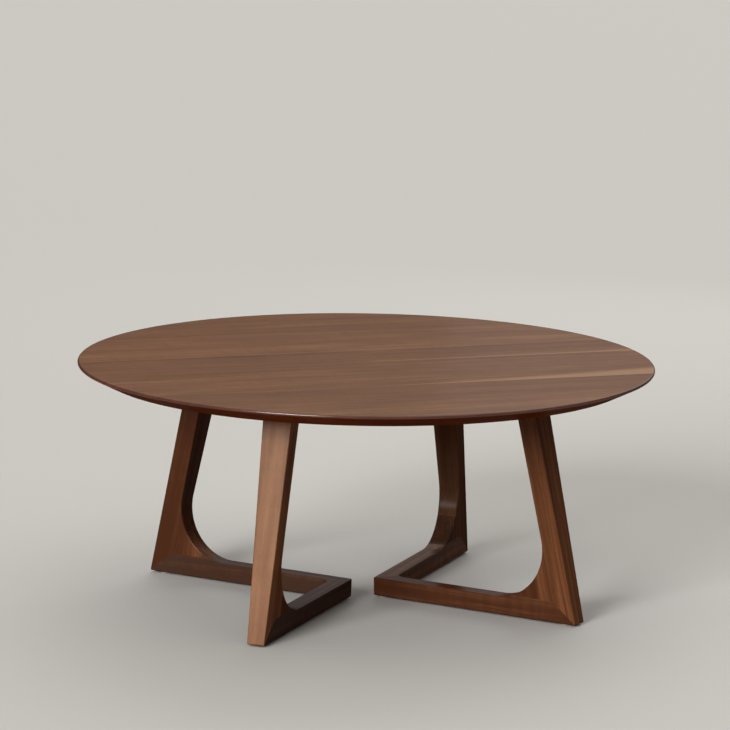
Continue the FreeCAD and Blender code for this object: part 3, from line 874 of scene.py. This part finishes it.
    # Faces part at sharp edges: flat where sawn or planed, and on the rim turning from the nose to the bevel
    edge_angle = put(tree, "GeometryNodeInputMeshEdgeAngle").outputs["Unsigned Angle"]
    is_sharp = calc(tree, "GREATER_THAN", edge_angle, SHARP_EDGE_ANGLE)
    board = shape(tree, "SplitEdges", {"Mesh": board, "Selection": is_sharp})
    level = vector_calc(tree, "MULTIPLY", place, (1, 1, 0))
    from_axis = vector_calc(tree, "LENGTH", level)
    above_nose = calc(tree, "SUBTRACT", spot["Z"], nose_height)
    past_nose = calc(tree, "SUBTRACT", from_axis, nose_outward)
    tilt = calc(tree, "MAXIMUM", calc(tree, "ARCTAN2", above_nose, past_nose), bevel_tilt)
    aside = calc(tree, "DIVIDE", calc(tree, "COSINE", tilt), from_axis)
    aside = vector_calc(tree, "SCALE", level, scale=aside)
    turned = vector_calc(tree, "ADD", aside, xyz(tree, z=calc(tree, "SINE", tilt)))
    flat = put(
        tree, "GeometryNodeFieldOnDomain",
        {"Value": put(tree, "GeometryNodeInputNormal").outputs["Normal"]},
        data_type="FLOAT_VECTOR", domain="FACE",
    ).outputs["Value"]
    facing = put(
        tree, "GeometryNodeSwitch",
        {"Switch": drum["Side"], "False": flat, "True": turned},
        input_type="VECTOR",
    ).outputs["Output"]
    board = shape(tree, "SetShadeSmooth", {"Geometry": board})
    normals = {"Mesh": board, "Custom Normal": facing}
    board = shape(tree, "SetMeshNormal", normals, mode="FREE", domain="CORNER")
    board = shape(tree, "RealizeInstances", {"Geometry": board})
    board = shape(tree, "SetMaterial", {"Geometry": board, "Material": given["Wood"]})
    put_out(tree, result, board=board)
    return tree


def turned_rim(radius, low, high):
    """The rim as the lathe leaves it: a polished round nose over a bevel, both dark with oil."""
    tree, given, result = new_group(
        "turned_rim", {"Place": ("Vector", None)}, {"Stain": "Float", "Polish": "Float"}
    )
    outward = vector_calc(tree, "LENGTH", vector_calc(tree, "MULTIPLY", given["Place"], (1, 1, 0)))
    past_flat = calc(tree, "SUBTRACT", outward, radius - RIM_NOSE_RADIUS)
    height = axes(tree, given["Place"])["Z"]
    below_top = calc(tree, "SUBTRACT", high, height)
    on_rim = calc(
        tree, "MAXIMUM",
        step(tree, past_flat, 0.0, RIM_STAIN_FADE),
        step(tree, below_top, RIM_STAIN_FADE, RIM_NOSE_RADIUS),
    )
    stain = calc(tree, "MULTIPLY", on_rim, step(tree, height, low, low + RIM_STAIN_FADE))
    nose_height = RIM_NOSE_RADIUS * (1 + math.sin(RIM_BEVEL_ANGLE))
    on_nose = step(tree, below_top, nose_height + RIM_STAIN_FADE, nose_height - RIM_STAIN_FADE)
    put_out(tree, result, stain=stain, polish=calc(tree, "MULTIPLY", stain, on_nose))
    return tree


def from_heart(node, y):
    """Distance of a line on the board's upper face from the heart of its tree."""
    low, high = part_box(node)
    return math.hypot(high.y + HEART_BEHIND - y, high.z - low.z + HEART_BELOW)


def plate_middle(corner):
    """The middle of the underside of a plate, which lies flush with the underside of the top."""
    low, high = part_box(f"{corner}_fixing_plate")
    return Vector(((low.x + high.x) / 2, (low.y + high.y) / 2, low.z))


TURNED_BOARD = turned_board()
TOP_RADIUS = cad_box[1].y
middle_low, middle_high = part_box("top_back_board_1")
RIM = turned_rim(TOP_RADIUS, middle_low.z, middle_high.z)

# The outermost boards end inside their strip, so a strip is measured from its edge nearer the middle
for number, (node, grain) in enumerate(BOARD_GRAIN.items()):
    low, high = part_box(node)
    wood = walnut_finish(
        f"{node}_walnut",
        Matrix.Rotation(math.radians(grain["drift"]), 3, "Z"),
        (0, high.y + HEART_BEHIND, low.z - HEART_BELOW),
        seed=BOARD_SEED + number,
        tone=grain["tone"],
        heart=from_heart(node, (low.y + high.y) / 2),
        lighter_outward=0.7,
        sap_radius=from_heart(node, low.y + grain["sap"]) if "sap" in grain else NO_SAP_WITHIN,
        sap_taper=grain.get("taper", 0.0),
        rim=RIM,
        film=0.1,
        middle=BOARD_MIDDLE, light=BOARD_LIGHT,
        ring_width=0.006, ring_lines=0.22, wander=0.05, pace=1.5, streaks=0.42, bands=0.25, clouds=0.42,
    )
    board = bake(
        f"{node}_turned", TURNED_BOARD,
        places=[plate_middle(corner) for corner in CORNERS],
        radius=TOP_RADIUS,
        low=low.z,
        high=high.z,
        nose_radius=RIM_NOSE_RADIUS,
        bevel_angle=RIM_BEVEL_ANGLE,
        front_edge=low.y if "back" in node else high.y - BOARD_WIDTH,
        back_edge=low.y + BOARD_WIDTH if "back" in node else high.y,
        recess_size=RECESS_SIZE,
        recess_corner=RECESS_CORNER,
        recess_turn=V_HALF_ANGLE,
        hole_spacing=INSERT_SPACING,
        hole_radius=INSERT_HOLE_RADIUS,
        hole_depth=INSERT_HOLE_DEPTH,
        wood=wood,
    )
    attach(board, "root")
    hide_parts(node)


# Threaded inserts
# Four brass sleeves to a plate, pressed into blind holes in the underside of the top.
# Each has a plain bore for the thread of its bolt, and shows only when the bolts are out.

BRASS = metal_finish("plain_brass", bright=(0.70, 0.50, 0.22, 1), dull=(0.48, 0.32, 0.13, 1), gloss=0.62)
dress("top_inserts", BRASS)


# Plate bolts
# Four zinc-plated bolts to a plate, with low domed heads and six-sided sockets.
# They go up from below through the plate into the inserts, and come to rest at odd angles.

BOLT_HEAD_RADIUS = 0.00525
BOLT_HEAD_HEIGHT = 0.0033
BOLT_HEAD_SIDES = 32
BOLT_HEAD_ROWS = 8
BOLT_DOME_POWER = 2.6
BOLT_LAND_RADIUS = 0.0031
BOLT_SOCKET_WIDTH = 0.004
BOLT_SOCKET_DEPTH = 0.002
BOLT_SOCKET_SIDES = 6
BOLT_SHANK_RADIUS = 0.003
BOLT_SHANK_SIDES = 24
BOLT_THREAD_PITCH = 0.001
BOLT_THREAD_DEPTH = 0.0004


def bolt_set():
    """One bolt from its sizes, with its head's seat at the origin, set on each place at a random turn."""
    tree, given, result = new_group(
        "bolt_set",
        {
            "Places": ("Geometry", None),
            "Head Radius": ("Float", 0.005),
            "Head Height": ("Float", 0.003),
            "Land Radius": ("Float", 0.003),
            "Socket Width": ("Float", 0.004),
            "Socket Depth": ("Float", 0.002),
            "Shank Radius": ("Float", 0.003),
            "Shank Length": ("Float", 0.012),
            "Thread Pitch": ("Float", 0.001),
            "Thread Depth": ("Float", 0.0004),
            "Seed": ("Int", 0),
            "Steel": ("Material", None),
        },
        {"Bolts": "Geometry"},
        "GeometryNodeTree",
    )
    height = axes(tree, position(tree))["Z"]

    def bar(sides, rows, radius, length, middle):
        """An upright bar, with its middle at a height on the axis."""
        mesh = cylinder(tree, sides, rows, radius, length)["Mesh"]
        return shape(tree, "Transform", {"Geometry": mesh, "Translation": xyz(tree, z=middle)})

    # The head hangs from its seat, and its dome draws in to the land round the socket
    head_middle = calc(tree, "MULTIPLY", given["Head Height"], -0.5)
    head = bar(BOLT_HEAD_SIDES, BOLT_HEAD_ROWS, given["Head Radius"], given["Head Height"], head_middle)
    down = calc(tree, "DIVIDE", calc(tree, "MULTIPLY", height, -1.0), given["Head Height"])
    narrowing = calc(tree, "SUBTRACT", 1.0, calc(tree, "DIVIDE", given["Land Radius"], given["Head Radius"]))
    doming = calc(tree, "POWER", down, BOLT_DOME_POWER)
    head = drawn_in(tree, head, calc(tree, "MULTIPLY", narrowing, doming))
    socket = bar(
        BOLT_SOCKET_SIDES, 1,
        calc(tree, "DIVIDE", given["Socket Width"], math.sqrt(3)),
        calc(tree, "MULTIPLY", given["Socket Depth"], 2.0),
        calc(tree, "MULTIPLY", given["Head Height"], -1.0),
    )
    head = shape(tree, "MeshBoolean", {"Mesh 1": head, "Mesh 2": socket}, operation="DIFFERENCE")

    # The shank has a row of points on each crest and in each groove of its thread
    half_turns = calc(tree, "MULTIPLY", given["Shank Length"], 2.0)
    half_turns = calc(tree, "DIVIDE", half_turns, given["Thread Pitch"])
    half_turns = put(tree, "FunctionNodeFloatToInt", {"Float": half_turns}).outputs["Integer"]
    shank_middle = calc(tree, "MULTIPLY", given["Shank Length"], 0.5)
    shank = bar(BOLT_SHANK_SIDES, half_turns, given["Shank Radius"], given["Shank Length"], shank_middle)
    half_pitch = calc(tree, "MULTIPLY", given["Thread Pitch"], 0.5)
    groove = calc(tree, "DIVIDE", calc(tree, "PINGPONG", height, half_pitch), half_pitch)
    groove = calc(tree, "MULTIPLY", groove, given["Thread Depth"])
    shank = drawn_in(tree, shank, calc(tree, "DIVIDE", groove, given["Shank Radius"]))

    bolt = shape(tree, "JoinGeometry", {"Geometry": [head, shank]})
    turn = random_turn(tree, 0, given["Seed"])
    bolts = shape(tree, "InstanceOnPoints", {"Points": given["Places"], "Instance": bolt, "Rotation": turn})
    bolts = shape(tree, "RealizeInstances", {"Geometry": bolts})
    bolts = shape(tree, "SetMaterial", {"Geometry": bolts, "Material": given["Steel"]})
    put_out(tree, result, bolts=bolts)
    return tree


def bolt_places(corner):
    """The seats of the four bolts under a plate, two on each side of the leg."""
    to_part = along_rail(corner).transposed()
    offsets = [
        Vector((along * INSERT_SPACING[0] / 2, across * INSERT_SPACING[1] / 2, 0))
        for along in (-1, 1) for across in (-1, 1)
    ]
    return [plate_middle(corner) + to_part @ offset for offset in offsets]


bolts_low, bolts_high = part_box("plate_bolts")
bolts = bake(
    "plate_bolts_domed", bolt_set(),
    places=[place for corner in CORNERS for place in bolt_places(corner)],
    head_radius=BOLT_HEAD_RADIUS,
    head_height=BOLT_HEAD_HEIGHT,
    land_radius=BOLT_LAND_RADIUS,
    socket_width=BOLT_SOCKET_WIDTH,
    socket_depth=BOLT_SOCKET_DEPTH,
    shank_radius=BOLT_SHANK_RADIUS,
    shank_length=bolts_high.z - bolts_low.z - BOLT_HEAD_HEIGHT,
    thread_pitch=BOLT_THREAD_PITCH,
    thread_depth=BOLT_THREAD_DEPTH,
    seed=3,
    steel=ZINC,
)
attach(bolts, "root")
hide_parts("plate_bolts")


# Floor, light and camera
# A plain pale floor, a soft lamp at the front left, a faint one behind, a soft box at the back right
# and a glow from above. From below, the floor lets the table be seen.

FLOOR_HALF = 20.0
FLOOR_COLOUR = (0.56, 0.55, 0.525, 1)
FLOOR_BOUNCE = (0.24, 0.15, 0.095, 1)
SOFT_BOX_SIZE = (1.6, 1.0)
SOFT_BOX_POWER = 2.5
SOFT_BOX_PLACE = Vector((2.0, 2.8, 1.1))
SOFT_BOX_AIM = Vector((0, 0, 0.4))
GLOW_LOW = (0.06, 0.056, 0.05, 1)
GLOW_HIGH = (0.84, 0.82, 0.78, 1)
GLOW_LEVEL = (0.55, 0.545, 0.53, 1)

# The camera as worked out from the photograph, with its angles in radians
CAMERA_TURN = 0.3333
CAMERA_DISTANCE = 7.68353
CAMERA_HEIGHT = 1.81096
CAMERA_YAW = -0.0003
CAMERA_PITCH = 0.1799
CAMERA_ROLL = 0.0167
FOCAL_PIXELS = 4502.73
IMAGE_PIXELS = 730
SENSOR_WIDTH = 36.0

floor_mesh = bpy.data.meshes.new("floor")
floor_corners = [(x * FLOOR_HALF, y * FLOOR_HALF, 0) for x, y in ((-1, -1), (1, -1), (1, 1), (-1, 1))]
floor_mesh.from_pydata(floor_corners, [], [(0, 1, 2, 3)])
floor = add("floor", floor_mesh)

# The floor is pale to the eye and in mirrors, but the light that it throws back is warmer and dimmer
floor_paint, paint = new_finish("floor_paint")
ray = put(paint, "ShaderNodeLightPath").outputs
is_seen = calc(paint, "MAXIMUM", ray["Is Camera Ray"], ray["Is Glossy Ray"])
is_seen = calc(paint, "MAXIMUM", is_seen, ray["Is Transmission Ray"])
floor_colour = blend(paint, is_seen, FLOOR_BOUNCE, FLOOR_COLOUR)
painted = put(
    paint, "ShaderNodeBsdfPrincipled",
    {"Base Color": floor_colour, "Roughness": 0.8, "Specular IOR Level": 0.1},
).outputs["BSDF"]
from_below = put(paint, "ShaderNodeNewGeometry").outputs["Backfacing"]
clear = put(paint, "ShaderNodeBsdfTransparent").outputs["BSDF"]
one_sided = put(paint, "ShaderNodeMixShader", {0: from_below, 1: painted, 2: clear}).outputs["Shader"]
put(paint, "ShaderNodeOutputMaterial", {"Surface": one_sided})
floor_mesh.materials.append(floor_paint)


def lamp(name, azimuth, elevation, spread, level):
    """A far soft lamp. Azimuth 0 stands in front, and level 1 shows a facing colour as it is written."""
    light = bpy.data.lights.new(name, "SUN")
    light.angle = math.radians(spread)
    light.energy = level * math.pi
    turn = math.radians(azimuth)
    rise = math.radians(elevation)
    outward = Vector((math.sin(turn) * math.cos(rise), -math.cos(turn) * math.cos(rise), math.sin(rise)))
    add(name, light).rotation_euler = outward.to_track_quat("Z", "Y").to_euler()


lamp("key", azimuth=-50, elevation=20, spread=24, level=0.95)
lamp("back", azimuth=150, elevation=32, spread=50, level=0.3)

soft_box = bpy.data.lights.new("soft_box", "AREA")
soft_box.shape = "RECTANGLE"
soft_box.size = SOFT_BOX_SIZE[0]
soft_box.size_y = SOFT_BOX_SIZE[1]
soft_box.energy = SOFT_BOX_POWER
soft_box_object = add("soft_box", soft_box)
soft_box_object.location = SOFT_BOX_PLACE
soft_box_object.rotation_euler = (SOFT_BOX_PLACE - SOFT_BOX_AIM).to_track_quat("Z", "Y").to_euler()
soft_box_object.visible_camera = False

world = bpy.data.worlds.new("glow")
bpy.context.scene.world = world
world.use_nodes = True
glow = world.node_tree
direction = put(glow, "ShaderNodeTexCoord").outputs["Generated"]
height = axes(glow, direction)["Z"]
graded = blend(glow, step(glow, height, start=0.15, end=1.0), GLOW_LOW, GLOW_HIGH)
graded = blend(glow, step(glow, height, start=0.06, end=0.02), graded, GLOW_LEVEL)
glow.links.new(graded, glow.nodes["Background"].inputs["Color"])
glow.nodes["Background"].inputs["Strength"].default_value = 1.0

camera = bpy.data.cameras.new("camera")
camera.sensor_width = SENSOR_WIDTH
camera.lens = FOCAL_PIXELS / IMAGE_PIXELS * SENSOR_WIDTH
camera.clip_end = 100.0
camera_object = add("camera", camera)
forward = Vector((
    math.sin(CAMERA_YAW) * math.cos(CAMERA_PITCH),
    math.cos(CAMERA_YAW) * math.cos(CAMERA_PITCH),
    -math.sin(CAMERA_PITCH),
))
level_right = Vector((math.cos(CAMERA_YAW), -math.sin(CAMERA_YAW), 0))
level_up = level_right.cross(forward)
right = math.cos(CAMERA_ROLL) * level_right + math.sin(CAMERA_ROLL) * level_up
up = -math.sin(CAMERA_ROLL) * level_right + math.cos(CAMERA_ROLL) * level_up
looking = Matrix((right, up, -forward)).transposed().to_4x4()
looking.translation = (0, -CAMERA_DISTANCE, CAMERA_HEIGHT)
camera_object.matrix_world = Matrix.Rotation(-CAMERA_TURN, 4, "Z") @ looking
bpy.context.scene.camera = camera_object
bpy.context.scene.view_settings.view_transform = "Standard"
